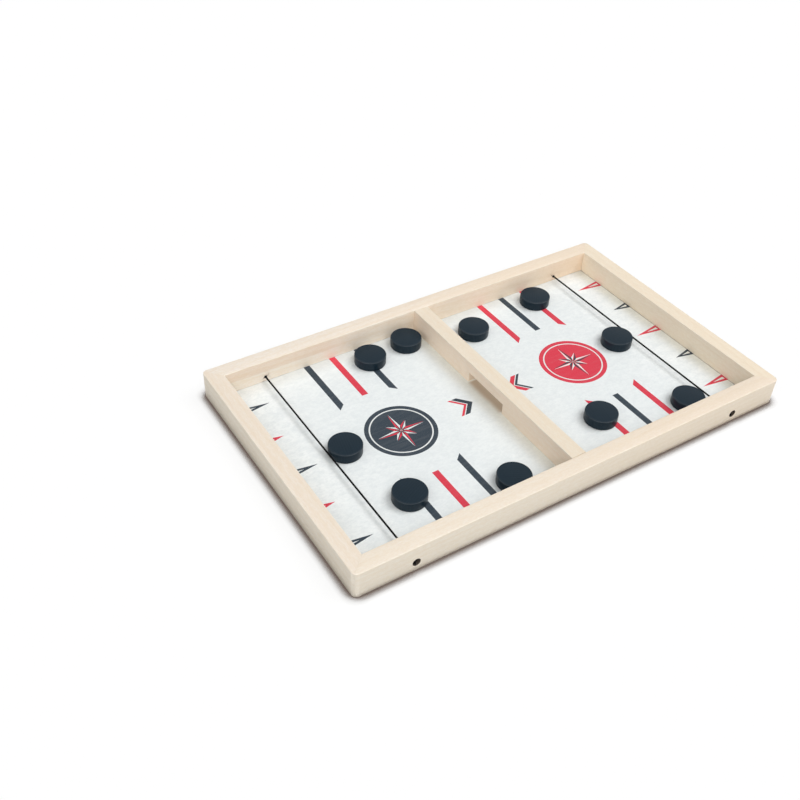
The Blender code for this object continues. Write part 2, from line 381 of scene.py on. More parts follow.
@dataclass(frozen=True)
class Mottle:
    """Cloudy tone of a whitewashed or printed sheet, with faint streaks along X and a fine tooth."""

    clouds: Cloud = Cloud((26.0, 34.0, 34.0), 4.0, 0.6)
    streaks: Cloud = Cloud((38.0, 420.0, 420.0), 3.0, 0.6)
    tooth: Cloud = Cloud((2600.0, 2600.0, 2600.0), 2.0, 0.6)

    @functools.cache
    def group(self) -> NodeTree:
        """Builds the effect, once.

        Returns:
            The node group.
        """
        g = Effect("mottle")
        clouds = {"Clouds": self.clouds, "Streaks": self.streaks, "Tooth": self.tooth}
        return g.gives({label: g.noise(g.takes["Vector"], cloud) for label, cloud in clouds.items()})


def rgba(value: Feed) -> Feed:
    """Gives a colour of three numbers its alpha, and leaves anything else alone."""
    return (*value, 1.0) if isinstance(value, tuple) and len(value) == 3 else value


class Surface(Graph):
    """The nodes of one material, with its Principled shader."""

    @functools.cached_property
    def own(self) -> NodeSocket:
        """The piece's own coordinates."""
        return self.add("ShaderNodeTexCoord").outputs["Object"]

    def relief(self, height: Feed, depth: float) -> NodeSocket:
        """Gives the normals of a relief from 0 to 1, whose depth is in metres."""
        return self.add("ShaderNodeBump", {"Strength": 1.0, "Distance": depth, "Height": height}).outputs[0]

    def shade(self, feeds: dict[str, Feed]) -> None:
        """Feeds the shader's inputs."""
        for name, value in feeds.items():
            self.feed(self.tree.nodes["Principled BSDF"].inputs[name], value)


# Finishes


class Finish:
    """A finish, which each kind paints in its own way."""

    def paint(self, g: Surface) -> None:
        """Paints a material's nodes."""
        raise NotImplementedError

    def material(self, name: str) -> Material:
        """Makes a material with the finish.

        Args:
            name: The material's name.

        Returns:
            The material.
        """
        made = bpy.data.materials.new(name)
        made.use_nodes = True
        self.paint(Surface(made.node_tree))
        return made


@dataclass(frozen=True)
class PaleWood(Finish):
    """Sanded pale softwood under a thin matt varnish.

    Grain runs along the given turn about the vertical, and the heart line of the log is where heart says.
    A streaked piece is the back rail, with darker heartwood in its inner face.
    """

    pale: Colour = (0.880, 0.790, 0.670)
    blush: Colour = (0.880, 0.790, 0.670)
    ring: Colour = (0.790, 0.640, 0.460)
    fleck: Colour = (0.50, 0.34, 0.20)
    worn: Colour = (0.95, 0.88, 0.77)
    # Painted shade: the near-black colour laid on the bores' walls.
    bore_shade: Colour = (0.035, 0.022, 0.015)
    # side multiplies the colour of the faces below the top: painted light and shade, which makes the side
    # faces lighter or darker as the light falls on them.
    side: Colour = (1.055, 1.06, 1.06)
    heartwood: Colour = (0.935, 0.875, 0.83)
    streaked: bool = False
    turn: float = 0.0
    heart: Point = (0.0, 0.07, -0.06)
    tilt: float = 0.03
    ring_spacing: float = 0.0046
    drift_reach: float = 0.15
    ring_strength: Ramp = (0.3, 0.7, 0.08, 0.30)
    fibre_strength: Ramp = (0.25, 0.75, 0.20, 0.0)
    fleck_strength: float = 0.22
    short_grain: Cloud = Cloud((250.0, 720.0, 720.0), 2.0, 0.7, (0.35, 0.65, 0.30, 0.0))
    side_light_top: Ramp = (0.0240, 0.0246, 1.0, 0.0)
    streak_sway: float = 0.004
    streak_height: Ramp = (0.0135, 0.0150)
    streak_left: Ramp = (-0.115, -0.075, 1.0, 0.0)
    streak_right: Ramp = (0.130, 0.165, 0.0, 0.75)
    streak_face: Ramp = (0.1151, 0.1156, 1.0, 0.0)
    scorch: float = 0.93
    rub: Cloud = Cloud((90.0, 90.0, 90.0), ramp=(0.35, 0.65, 0.15, 0.55))
    gloss: Ramp = (0.2, 0.8, 0.62, 0.48)
    ior: float = 1.45
    ring_relief: float = 0.35
    depth: float = 0.00003

    def paint(self, g: Surface) -> None:
        """Paints the tone and the grain, then painted light and shade on the side faces, painted shade in the
        bores, and the worn edges.

        Args:
            g: The material's nodes.
        """
        along, across, up = g.parts(g.own)
        lean = (self.tilt * math.sin(self.turn), self.tilt * math.cos(self.turn), self.turn)
        turned = g.mapped(g.own, ONE, self.heart, lean)
        grain = {"Vector": turned, "Spacing": self.ring_spacing}
        rings, fibres, flecks, tone = g.effect(LongGrain().group(), grain)
        colour = g.coated(
            self.pale,
            (g.between(along, -self.drift_reach, self.drift_reach), self.blush),
            (g.times(rings, g.between(tone, *self.ring_strength)), self.ring),
            (g.between(fibres, *self.fibre_strength), self.ring),
            (g.times(flecks, self.fleck_strength), self.fleck),
            (g.noise(turned, self.short_grain), self.ring))
        # Painted light and shade on the side faces, by the side factor.
        colour = g.mix(g.between(up, *self.side_light_top), colour, self.side, "MULTIPLY")
        if self.streaked:
            height = g.plus(up, g.sway(tone, self.streak_sway))
            left = g.times(g.between(height, *self.streak_height), g.between(along, *self.streak_left))
            streak = g.math("MAXIMUM", left, g.between(along, *self.streak_right))
            streak = g.times(streak, g.between(across, *self.streak_face))
            colour = g.mix(streak, colour, self.heartwood, "MULTIPLY")
        # The bores' walls get painted shade, and the eased edges their wear.
        colour = g.coated(
            colour,
            (g.times(g.mark("bored"), self.scorch), self.bore_shade),
            (g.times(g.mark("worn"), g.noise(g.own, self.rub)), self.worn))
        relief = g.math("SUBTRACT", g.plus(fibres, g.times(rings, self.ring_relief)), flecks)
        g.shade({"Base Color": colour, "Roughness": g.between(fibres, *self.gloss), "IOR": self.ior,
                 "Normal": g.relief(relief, self.depth)})


@dataclass(frozen=True)
class WhiteBoard(Finish):
    """White printed face of the thin playing board, with its bare brown back."""

    cool: Colour = (0.830, 0.866, 0.864)
    warm: Colour = (0.915, 0.938, 0.928)
    far: Ramp = (0.11, 0.19)
    cloudy: Ramp = (0.35, 0.62)
    far_warmth: Ramp = (0.0, 1.0, 0.50, 0.95)
    cloud_warmth: float = 0.10
    patches: Cloud = Cloud((150.0, 210.0, 210.0), 3.0, 0.7, (0.38, 0.66, 0.0, 0.52))
    patch: Colour = (0.735, 0.775, 0.785)
    streaked: Ramp = (0.35, 0.75, 0.0, 0.22)
    streak: Colour = (0.76, 0.80, 0.80)
    speckles: Cloud = Cloud((360.0, 500.0, 500.0), 2.0, 0.7, (0.38, 0.66, 0.0, 0.26))
    speckle: Colour = (0.68, 0.72, 0.73)
    # Painted shade under the divider's gate: the rubbed colour lies on the board there, strongest under the
    # divider and fading within 11 mm of it, only within the gate's width.
    gate_shade_sway: float = 0.004
    gate_shade: Ramp = (0.0040, 0.0110, 1.0, 0.0)
    gate_shade_fade: float = 0.003
    rubbed: Colour = (0.54, 0.46, 0.375)
    # Painted shade: a warm tint on the board within 16 mm of the right rail's inner face and of the divider's
    # left face.
    lee: Ramp = (0.002, 0.016, 0.9, 0.0)
    wall_shade_tint: Colour = (0.98, 0.945, 0.87)
    # Painted shade: the board darkens within 18 mm of the long rails' inner faces.
    foot: Pair = (0.018, 0.001)
    rail_foot_shade: Colour = (0.80, 0.785, 0.765)
    end: Pair = (0.0012, 0.0004)
    end_strength: float = 0.45
    seam: Colour = (0.36, 0.27, 0.20)
    skin: float = 0.0026
    back_clouds: Ramp = (0.3, 0.7)
    back: tuple[Colour, Colour] = ((0.30, 0.17, 0.085), (0.37, 0.22, 0.12))
    pores: Ramp = (0.4, 0.7, 0.0, 0.6)
    pore: Colour = (0.20, 0.105, 0.05)
    gloss: Ramp = (0.2, 0.8, 0.50, 0.40)
    relief_shares: Pair = (0.7, 0.3)
    depth: float = 0.00002

    def paint(self, g: Surface) -> None:
        """Paints the board: the height of a point tells the printed face from the bare back.

        Args:
            g: The material's nodes.
        """
        clouds, streaks, tooth = g.effect(Mottle().group(), {"Vector": g.own})
        along, across, up = g.parts(g.own)
        aside, outwards = g.math("ABSOLUTE", along), g.math("ABSOLUTE", across)
        end, wall, gate = TRAY.field_half_length, TRAY.field_half_width, TRAY.gate / 2
        cloudy = g.between(clouds, *self.cloudy)
        far = g.times(g.between(aside, *self.far), g.between(cloudy, *self.far_warmth))
        swayed = g.plus(aside, g.sway(clouds, self.gate_shade_sway))
        inside = g.between(outwards, gate - self.gate_shade_fade, gate, 1.0, 0.0)
        face = g.coated(
            self.cool,
            (g.plus(far, g.times(cloudy, self.cloud_warmth)), self.warm),
            (g.noise(g.own, self.patches), self.patch),
            (g.between(streaks, *self.streaked), self.streak),
            (g.noise(g.own, self.speckles), self.speckle),
            # Painted shade under the gate, in the rubbed colour.
            (g.times(g.between(swayed, *self.gate_shade), inside), self.rubbed))
        lee = g.math("MINIMUM", g.math("SUBTRACT", end, along),
                     g.math("ABSOLUTE", g.plus(along, TRAY.divider / 2)))
        face = g.coated(
            face,
            # Painted shade beside the right rail and the divider.
            (g.between(lee, *self.lee), self.wall_shade_tint),
            # Painted shade at the long rails' feet.
            (g.between(outwards, *(wall - reach for reach in self.foot)), self.rail_foot_shade),
            blend="MULTIPLY")
        joint = g.between(aside, *(end - reach for reach in self.end), 0.0, self.end_strength)
        face = g.mix(joint, face, self.seam)
        back = g.mix(g.between(clouds, *self.back_clouds), *self.back)
        back = g.mix(g.between(tooth, *self.pores), back, self.pore)
        relief = g.plus(*(g.times(mask, share) for mask, share in zip((streaks, tooth), self.relief_shares)))
        g.shade({"Base Color": g.mix(g.math("GREATER_THAN", up, self.skin), back, face),
                 "Roughness": g.between(streaks, *self.gloss), "Normal": g.relief(relief, self.depth)})


@dataclass(frozen=True)
class PrintInk(Finish):
    """Flat ink printed on the board, a little uneven where the board's streaks show through."""

    ink: InkColour
    thinned: Pair = (0.86, 0.05)
    thin: Ramp = (0.40, 0.72, 0.0, 0.45)
    gaps: Ramp = (0.62, 0.74, 0.0, 0.25)
    gap: Colour = (0.55, 0.55, 0.55)
    gloss: Ramp = (0.3, 0.7, 0.50, 0.40)
    shine: float = 0.25
    depth: float = 0.00002

    def paint(self, g: Surface) -> None:
        """Paints the ink.

        Args:
            g: The material's nodes.
        """
        clouds, streaks, tooth = g.effect(Mottle().group(), {"Vector": g.own})
        share, more = self.thinned
        colour = g.coated(
            self.ink.value,
            (g.between(streaks, *self.thin), tuple(share * part + more for part in self.ink.value)),
            (g.between(tooth, *self.gaps), self.gap))
        g.shade({"Base Color": colour, "Roughness": g.between(clouds, *self.gloss),
                 "Specular IOR Level": self.shine, "Normal": g.relief(streaks, self.depth)})


@dataclass(frozen=True)
class BlackLacquer(Finish):
    """Black stained wood of a turned puck under a clear satin lacquer."""

    turn: float = 0.0
    centre: Point = ZERO
    black: Colour = (0.0065, 0.0170, 0.0275)
    lit: Colour = (0.0140, 0.0265, 0.0380)
    heart: Point = (0.0, 0.05, 0.0)
    ring_spacing: float = 0.0021
    fibres: Ramp = (0.3, 0.8, 0.0, 0.35)
    ring_strength: float = 0.35
    edge: Ramp = (0.35, 0.7, 0.3, 0.8)
    edge_colour: Colour = (0.052, 0.064, 0.075)
    scuffs: Cloud = Cloud((260.0, 4200.0, 900.0), ramp=(0.66, 0.78), turn=(0.0, 0.0, 0.7))
    scuff_strength: float = 0.22
    scuff_colour: Colour = (0.06, 0.07, 0.08)
    scuff_roughness: float = 0.15
    rubbed: Cloud = Cloud((120.0, 120.0, 120.0), 3.0, 0.6, (0.45, 0.75))
    gloss: Ramp = (0.0, 1.0, 0.30, 0.42)
    shine: float = 0.12
    coat: float = 0.03
    coat_roughness: float = 0.16
    lathe_pitch: float = 0.00045
    relief_shares: Pair = (0.8, 0.04)
    depth: float = 0.000012

    def paint(self, g: Surface) -> None:
        """Paints the stained grain, the worn edge and the scuffs, with the lathe's rings in the relief.

        Args:
            g: The material's nodes.
        """
        centred = g.mapped(g.own, ONE, tuple(-part for part in self.centre))
        grained = g.mapped(centred, ONE, self.heart, (0.0, 0.0, self.turn))
        grain = {"Vector": grained, "Spacing": self.ring_spacing}
        rings, fibres, _, tone = g.effect(LongGrain().group(), grain)
        scuffs = g.noise(centred, self.scuffs)
        colour = g.coated(
            self.black,
            (g.between(fibres, *self.fibres), self.lit),
            (g.times(rings, self.ring_strength), self.lit),
            (g.times(g.mark("worn"), g.between(tone, *self.edge)), self.edge_colour),
            (g.times(scuffs, self.scuff_strength), self.scuff_colour))
        rough = g.between(g.noise(centred, self.rubbed), *self.gloss)
        x, y, _ = g.parts(centred)
        lathe = g.math("SINE", g.times(g.distance(x, y), math.tau / self.lathe_pitch))
        relief = g.plus(*(g.times(mask, share) for mask, share in zip((fibres, lathe), self.relief_shares)))
        g.shade({"Base Color": colour, "Roughness": g.plus(rough, g.times(scuffs, self.scuff_roughness)),
                 "Specular IOR Level": self.shine, "Coat Weight": self.coat,
                 "Coat Roughness": self.coat_roughness, "Normal": g.relief(relief, self.depth)})


@dataclass(frozen=True)
class BraidedElastic(Finish):
    """Black braided sleeve of an elastic cord, drawn on the tube's own UV map."""

    strands: float = 8.0
    pitch: float = 2.2
    thread: Colour = (0.0025, 0.0025, 0.003)
    sheen: Colour = (0.008, 0.008, 0.009)
    sheen_strength: float = 0.7
    fuzz: Cloud = Cloud((9000.0, 9000.0, 9000.0))
    fuzz_relief: float = 0.3
    gloss: Ramp = (0.3, 0.7, 0.55, 0.80)
    shine: float = 0.08
    depth: float = 0.00008

    def paint(self, g: Surface) -> None:
        """Paints the braid from two families of threads that wind against each other.

        Args:
            g: The material's nodes.
        """
        around, along, _ = g.parts(g.add("ShaderNodeUVMap").outputs[0])
        turns, climb = g.times(around, self.strands / 2), g.times(along, self.pitch)
        waves = [g.math("SINE", g.times(g.math(way, turns, climb), math.tau)) for way in ("ADD", "SUBTRACT")]
        raised = g.between(g.math("MAXIMUM", *waves), 0.0, 1.0)
        fuzz = g.noise(g.own, self.fuzz)
        relief = g.plus(raised, g.times(fuzz, self.fuzz_relief))
        g.shade({"Base Color": g.mix(g.times(raised, self.sheen_strength), self.thread, self.sheen),
                 "Roughness": g.between(fuzz, *self.gloss), "Specular IOR Level": self.shine,
                 "Normal": g.relief(relief, self.depth)})


@dataclass(frozen=True)
class StudioFloor(Finish):
    """Pale floor that the camera and glossy surfaces see as white, with the tray's contact shadow."""

    lit: Colour = (0.90, 0.90, 0.90)
    glow: float = 0.80
    contact: Colour = (0.165, 0.125, 0.105)
    reach: float = 0.009
    samples: int = 8
    foot: Ramp = (0.60, 0.985)

    def paint(self, g: Surface) -> None:
        """Paints the floor. Its glow makes it white where it is seen, and lights no dull surface.

        Args:
            g: The material's nodes.
        """
        seen = g.seen()
        near = g.add("ShaderNodeAmbientOcclusion", {"Distance": self.reach}, samples=self.samples)
        foot = g.between(near.outputs["AO"], *self.foot)
        rest = 1.0 - self.glow
        dull, contact = (tuple(rest * part for part in colour) for colour in (WHITE, self.contact))
        g.shade({"Base Color": g.mix(foot, contact, g.mix(seen, self.lit, dull)),
                 "Emission Color": g.mix(foot, self.contact, WHITE),
                 "Emission Strength": g.times(seen, self.glow), "Roughness": 1.0, "Specular IOR Level": 0.0})


# Mesh work


def linked(name: str, data: bpy.types.ID) -> bpy.types.Object:
    """Makes an object and links it to the scene.

    Args:
        name: The object's name.
        data: Its mesh, lamp or camera.

    Returns:
        The object.
    """
    made = bpy.data.objects.new(name, data)
    bpy.context.scene.collection.objects.link(made)
    return made


def finished(name: str, shape: BMesh, look: Material, smooth: float = 32.0) -> bpy.types.Object:
    """Makes an object at the origin from a bmesh, with its faces outwards.

    Args:
        name: The piece's name.
        shape: The bmesh, which is freed.
        look: The piece's material.
        smooth: The angle in degrees up to which neighbouring faces are shaded as one.

    Returns:
        The object, linked to the scene.
    """
    bmesh.ops.recalc_face_normals(shape, faces=shape.faces)
    mesh = bpy.data.meshes.new(name)
    shape.to_mesh(mesh)
    shape.free()
    mesh.shade_smooth()
    mesh.set_sharp_from_angle(angle=math.radians(smooth))
    mesh.materials.append(look)
    return linked(name, mesh)


def only(kind: type, items: Sequence) -> list:
    """Picks the items of one kind from what an operator gives."""
    return [item for item in items if isinstance(item, kind)]


def whole(shape: BMesh) -> list:
    """Gives all that a bmesh is made of."""
    return shape.verts[:] + shape.edges[:] + shape.faces[:]


def mark_faces(shape: BMesh, name: str, faces: Sequence[BMFace]) -> None:
    """Marks faces for the materials.

    Args:
        shape: The bmesh.
        name: The mark, which a material reads as an attribute.
        faces: The faces.
    """
    layer = shape.loops.layers.float[name]
    for loop in (loop for face in faces if face.is_valid for loop in face.loops):
        loop[layer] = 1.0


def round_over(shape: BMesh, width: float, segments: int, chosen: Callable[[Vector, Vector], bool]) -> None:
    """Rounds chosen edges and marks the new faces as the ones that handling wears.

    Args:
        shape: The bmesh.
        width: The radius of the rounding.
        segments: Its number of facets.
        chosen: Tells from an edge's two ends whether it is rounded.
    """
    if "worn" not in shape.loops.layers.float:
        shape.loops.layers.float.new("worn")
    edges = [edge for edge in shape.edges if chosen(*(vertex.co for vertex in edge.verts))]
    made = bmesh.ops.bevel(shape, geom=edges, offset=width, offset_type="OFFSET", segments=segments,
                           profile=0.5, affect="EDGES", clamp_overlap=True, material=-1)
    mark_faces(shape, "worn", made["faces"])


def cut_off(shape: BMesh, point: Vector, normal: Vector) -> None:
    """Cuts a closed shape by a plane, drops the side that the normal points to and closes the cut."""
    cut = bmesh.ops.bisect_plane(shape, geom=whole(shape), plane_co=point, plane_no=normal, clear_outer=True)
    bmesh.ops.contextual_create(shape, geom=only(BMEdge, cut["geom_cut"]))


def sweep_faces(shape: BMesh, faces: Sequence[BMFace], sweep: Vector) -> None:
    """Extrudes faces by a sweep and keeps the old ones, so that the shape is closed."""
    swept = bmesh.ops.extrude_face_region(shape, geom=faces, use_keep_orig=True)["geom"]
    bmesh.ops.translate(shape, verts=only(BMVert, swept), vec=sweep)


def settled(shape: BMesh) -> BMesh:
    """Copies a bmesh in order of place, because the operators leave it in another order each time.

    Args:
        shape: The bmesh, which is freed.

    Returns:
        The copy, with the faces' marks.
    """
    copy = bmesh.new()
    marks = [(layer, copy.loops.layers.float.new(name)) for name, layer in shape.loops.layers.float.items()]
    spots = {vertex: tuple(round(part, DECIMALS) for part in vertex.co) for vertex in shape.verts}
    order = {vertex: number for number, vertex in enumerate(sorted(spots, key=spots.get))}
    corners = [copy.verts.new(spots[vertex]) for vertex in order]
    cycles = []
    for face in shape.faces:
        first = min(range(len(face.loops)), key=lambda number: order[face.loops[number].vert])
        cycles.append(face.loops[first:] + face.loops[:first])
    for cycle in sorted(cycles, key=lambda cycle: [order[loop.vert] for loop in cycle]):
        face = copy.faces.new([corners[order[loop.vert]] for loop in cycle])
        for old, new in zip(cycle, face.loops):
            for before, after in marks:
                new[after] = old[before]
    shape.free()
    return copy


def extruded(outline: Corners, start: float, sweep: float) -> BMesh:
    """Extrudes a flat outline along X.

    Args:
        outline: The outline's corners, across and up, in order.
        start: Where it starts.
        sweep: How far it is extruded.

    Returns:
        The closed shape.
    """
    shape = bmesh.new()
    face = shape.faces.new([shape.verts.new((start, across, up)) for across, up in outline])
    sweep_faces(shape, [face], Vector((sweep, 0.0, 0.0)))
    bmesh.ops.recalc_face_normals(shape, faces=shape.faces)
    return shape


# Camera


def aimed(azimuth: float, elevation: float, roll: float = 0.0) -> Matrix:
    """Gives the turn of a camera or lamp.

    Args:
        azimuth: Degrees from straight in front of the tray towards the right.
        elevation: Degrees above the table.
        roll: Degrees about its own axis.

    Returns:
        The turn.
    """
    turns = ((azimuth, "Z"), (90.0 - elevation, "X"), (roll, "Z"))
    about_z, about_x, rolled = (Matrix.Rotation(math.radians(angle), 4, axis) for angle, axis in turns)
    return about_z @ about_x @ rolled


@dataclass
class Camera:
    """The camera, at the photograph's angle."""

    place: Point = (-0.43774, -0.50958, 0.56293)
    azimuth: float = -33.841
    elevation: float = 40.539
    roll: float = 2.499
    lens: float = 44.494
    sensor: float = 36.0
    clip: Pair = (0.01, 50.0)

    def build(self) -> None:
        """Puts the camera in the scene and makes it the active one."""
        data = bpy.data.cameras.new("camera")
        data.lens = self.lens
        data.sensor_width = self.sensor
        data.clip_start, data.clip_end = self.clip
        camera = linked("camera", data)
        camera.matrix_world = Matrix.Translation(self.place) @ aimed(self.azimuth, self.elevation, self.roll)
        bpy.context.scene.camera = camera


# Cords


@dataclass(frozen=True)
class CordRoute:
    """The way of an elastic cord from its mid-span through a long rail to the tip of its tail.

    The knot is an overhand knot of one lap round both strands. Its shape is in spacings of its strands,
    and its points are (across, up, out) about the knot's middle.
    """

    knot_gap: float = 0.215
    climb: float = 1.1
    bight_lift: float = 0.25
    bight_rise: float = 0.3
    bight_dip: float = 0.3
    bight_side: float = 0.28
    bight_top: float = 0.95
    lead: tuple[Point, ...] = ((0.0, 0.0, -4.2), (0.0, 0.0, -3.3), (-0.1, 0.0, -2.35))
    tail: tuple[Point, ...] = ((0.5, 0.0, 0.95), (0.5, -0.34, 1.42), (0.47, -0.95, 1.6), (0.42, -1.5, 1.62))
    knot_room: float = 0.0003
    turn_points: int = 10
    curve_points: int = 12
    rounds: int = 4
    fine: float = 0.18
    knot_step: float = 0.0003
    cord_step: float = 0.002

    @property
    def spacing(self) -> float:
        """Distance between the middles of two strands that lie side by side."""
        return TRAY.cord_diameter * (1 + self.knot_gap)

    @property
    def lap(self) -> float:
        """Length of one lap round two strands, in spacings."""
        return 2 + 2 * math.pi

    @property
    def half_climb(self) -> float:
        """How far the laps reach from the knot's middle, in spacings."""
        return self.climb * (1 + 1 / self.lap) / 2

    @property
    def knot_place(self) -> float:
        """Distance of the knot's middle from the tray's middle."""
        half = (self.half_climb + self.bight_rise) * self.spacing + TRAY.cord_diameter / 2
        return TRAY.width / 2 - TRAY.knot_depth + self.knot_room + half

    def lap_point(self, turn: float) -> Pair:
        """Gives a point on the path that laps two strands. Its second half is the first one turned round.

        Args:
            turn: The number of laps made.

        Returns:
            The point, across and up, in spacings.
        """
        run = (turn % 1.0) * self.lap
        side = 1 if run < self.lap / 2 else -1
        run %= self.lap / 2
        if run < QUARTER:
            across, up = 0.5 + math.cos(run), -math.sin(run)
        elif run < QUARTER + 1:
            across, up = 0.5 + QUARTER - run, -1.0
        else:
            across, up = -0.5 + math.cos(run - 1), -math.sin(run - 1)
        return side * across, side * up

    def knot_outline(self) -> list[Point]:
        """Gives the knot's outline.

        Returns:
            Points from the straight cord to the tip of the tail.
        """
        top = self.half_climb
        first_lap = 1 - (QUARTER + 1) / self.lap
        laps = 1 + 1 / self.lap
        bight = (
            (-0.5, 0.0, -top - self.bight_dip),
            (-0.5, 0.0, 0.0),
            (-0.5, 0.0, top - self.bight_dip),
            (-0.5, self.bight_rise, top + self.bight_lift),
            (-self.bight_side, self.bight_top, top + self.bight_rise),
        )
        shares = [step / self.turn_points for step in range(1, self.turn_points)]
        turn = [(*self.lap_point(first_lap + laps * share), top - 2 * top * share) for share in shares]
        second = [(-across, up, -out) for across, up, out in reversed(bight)]
        return [*self.lead, *bight, *turn, *second, *self.tail]

    def knot_path(self) -> list[Vector]:
        """Gives the middle line of the knot at the +Y end.

        Returns:
            Points from the straight cord to the tip of the tail, with the mid-span at the origin.
        """
        fine = evenly(through(self.knot_outline(), self.curve_points), self.fine)
        knot = [Vector((p.x, p.z, p.y)) * self.spacing for p in eased(fine, self.rounds)]
        return [point + Vector((0.0, self.knot_place, 0.0)) for point in evenly(knot, self.knot_step)]

    def half_span(self) -> list[Vector]:
        """Gives the middle line of the straight cord, from the knot at the +Y end to the mid-span."""
        return evenly([self.knot_path()[0], Vector(ZERO)], self.cord_step)


def through(points: Sequence[Point], steps: int) -> list[Vector]:
    """Draws a smooth curve through points.

    Args:
        points: The points.
        steps: The number of steps between each pair.

    Returns:
        The curve's points.
    """
    places = [Vector(point) for point in points]
    places = [2 * places[0] - places[1], *places, 2 * places[-1] - places[-2]]
    curve = []
    for p0, p1, p2, p3 in zip(places, places[1:], places[2:], places[3:]):
        t1 = (p1 - p0).length ** 0.5
        t2 = t1 + (p2 - p1).length ** 0.5
        t3 = t2 + (p3 - p2).length ** 0.5
        for step in range(steps):
            t = t1 + (t2 - t1) * step / steps
            a1 = p0.lerp(p1, t / t1)
            a2 = p1.lerp(p2, (t - t1) / (t2 - t1))
            a3 = p2.lerp(p3, (t - t2) / (t3 - t2))
            b1 = a1.lerp(a2, t / t2)
            b2 = a2.lerp(a3, (t - t1) / (t3 - t1))
            curve.append(b1.lerp(b2, (t - t1) / (t2 - t1)))
    curve.append(places[-2])
    return curve


def evenly(points: Sequence[Vector], spacing: float) -> list[Vector]:
    """Walks along a path.

    Args:
        points: The path.
        spacing: About how far apart the new points are.

    Returns:
        Points at equal spacing, with both ends kept.
    """
    lengths = [(b - a).length for a, b in zip(points, points[1:])]
    count = max(1, round(sum(lengths) / spacing))
    goal = sum(lengths) / count
    walked = 0.0
    placed = [points[0]]
    for start, end, length in zip(points, points[1:], lengths):
        while len(placed) < count and walked + length >= goal * len(placed):
            placed.append(start.lerp(end, (goal * len(placed) - walked) / length))
        walked += length
    return [*placed, points[-1]]


def eased(points: list[Vector], rounds: int) -> list[Vector]:
    """Eases a path's bends.

    Args:
        points: The path.
        rounds: How often each point is drawn towards its neighbours' middle.

    Returns:
        The eased path, with both ends kept.
    """
    for _ in range(rounds):
        inner = [(a + 2 * b + c) / 4 for a, b, c in zip(points, points[1:], points[2:])]
        points = [points[0], *inner, points[-1]]
    return points


def path_length(points: Sequence[Vector]) -> float:
    """Gives the length of a path."""
    return sum((b - a).length for a, b in zip(points, points[1:]))


